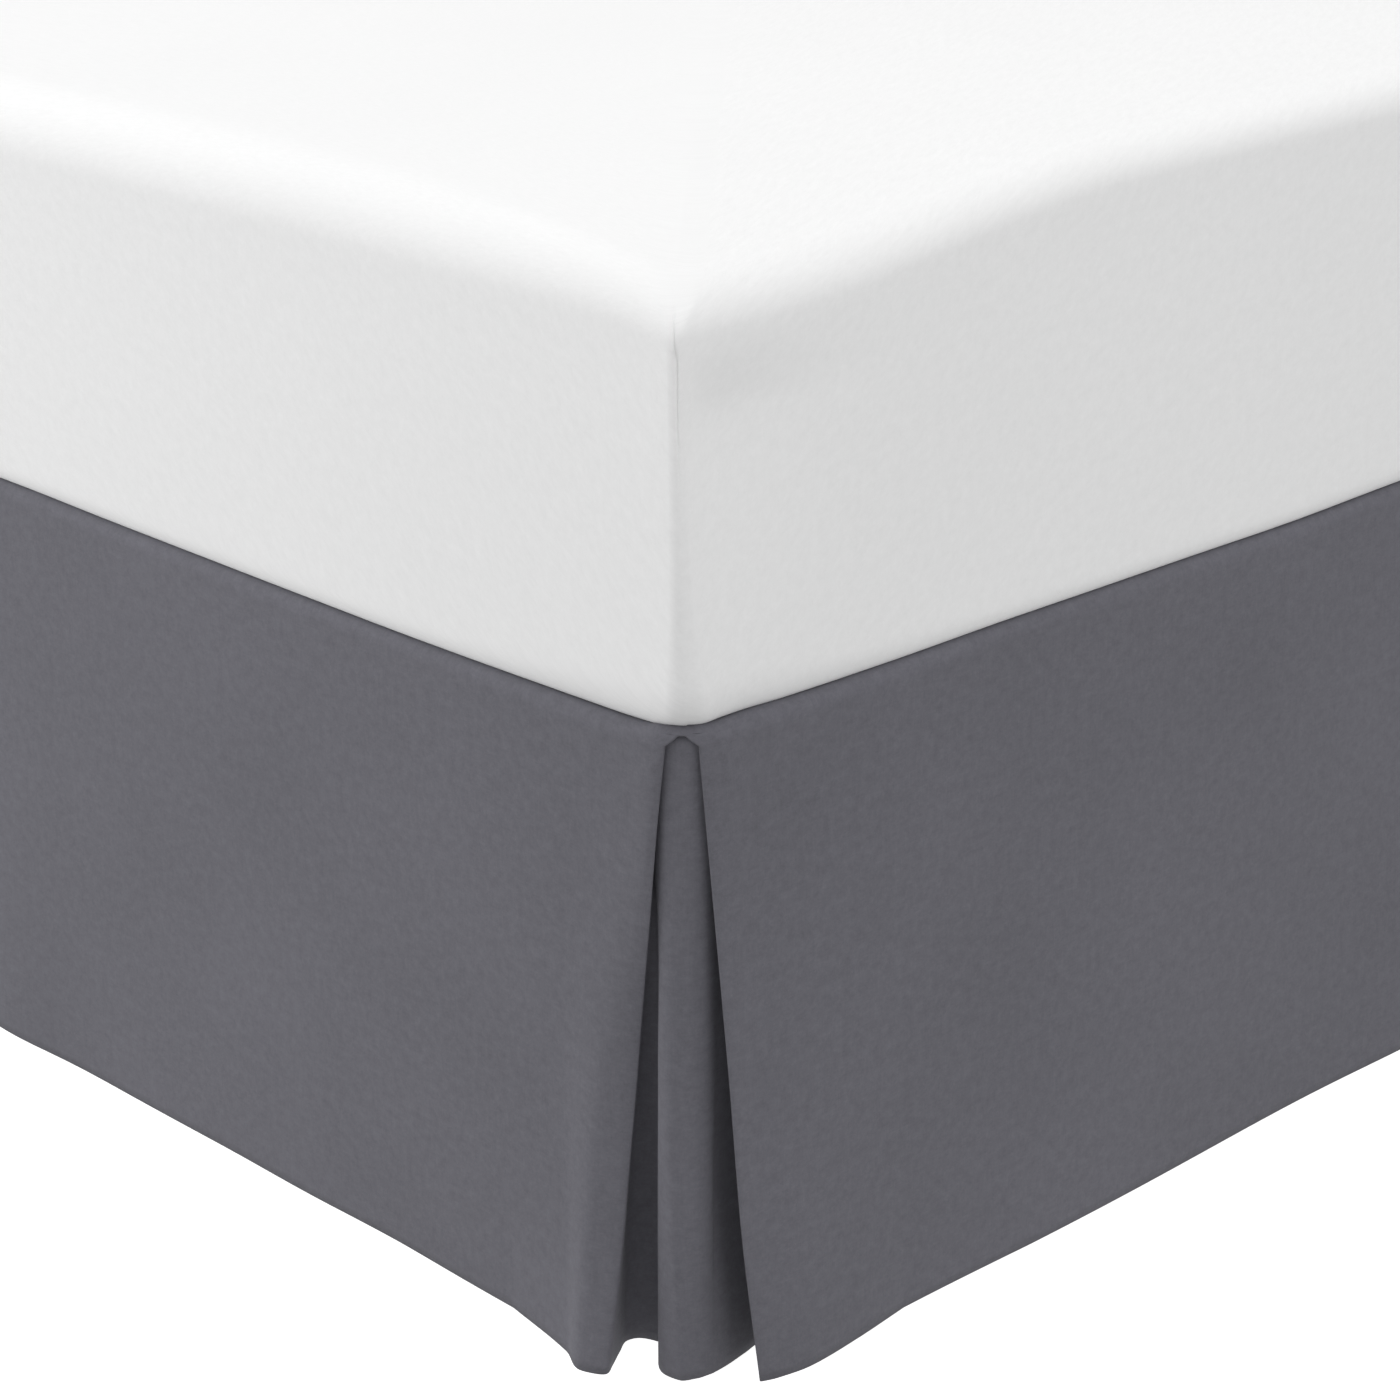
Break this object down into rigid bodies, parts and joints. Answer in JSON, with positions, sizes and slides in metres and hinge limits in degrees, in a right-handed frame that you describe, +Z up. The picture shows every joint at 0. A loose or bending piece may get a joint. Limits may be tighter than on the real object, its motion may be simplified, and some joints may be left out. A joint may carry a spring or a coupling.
{
  "type": "bed skirt on a bed",
  "caption": "Plain tailored bed skirt with open corner pleats at the foot, hanging to the floor from under a mattress on a box spring and steel frame.",
  "frame": {"origin": "on the floor, at the middle of the whole bed's footprint", "axes": "+Y along the bed from its foot to its head, +Z up, so the foot's drop faces -Y and the side drops face +X and -X"},
  "size_m": [1.5424, 2.053, 0.6364],
  "materials": {
    "grey_cloth": "fine plain weave, matte",
    "deck_cloth": "plain white sheeting, matte",
    "white_cloth": "smooth white sheeting, matte",
    "plain_cloth": "plain ticking, matte",
    "painted_steel": "dark satin paint"
  },
  "bodies": {
    "root": {"drop_foot": "grey_cloth", "drop_right": "grey_cloth", "drop_left": "grey_cloth", "pleat_insert_right": "grey_cloth", "pleat_insert_left": "grey_cloth", "deck": "deck_cloth", "mattress": "white_cloth", "box_spring": "plain_cloth", "rail_right": "painted_steel", "rail_left": "painted_steel", "cross_rail_foot": "painted_steel", "cross_rail_middle": "painted_steel", "cross_rail_head": "painted_steel", "leg_right_foot": "painted_steel", "leg_right_middle": "painted_steel", "leg_right_head": "painted_steel", "leg_left_foot": "painted_steel", "leg_left_middle": "painted_steel", "leg_left_head": "painted_steel"}
  },
  "joints": []
}
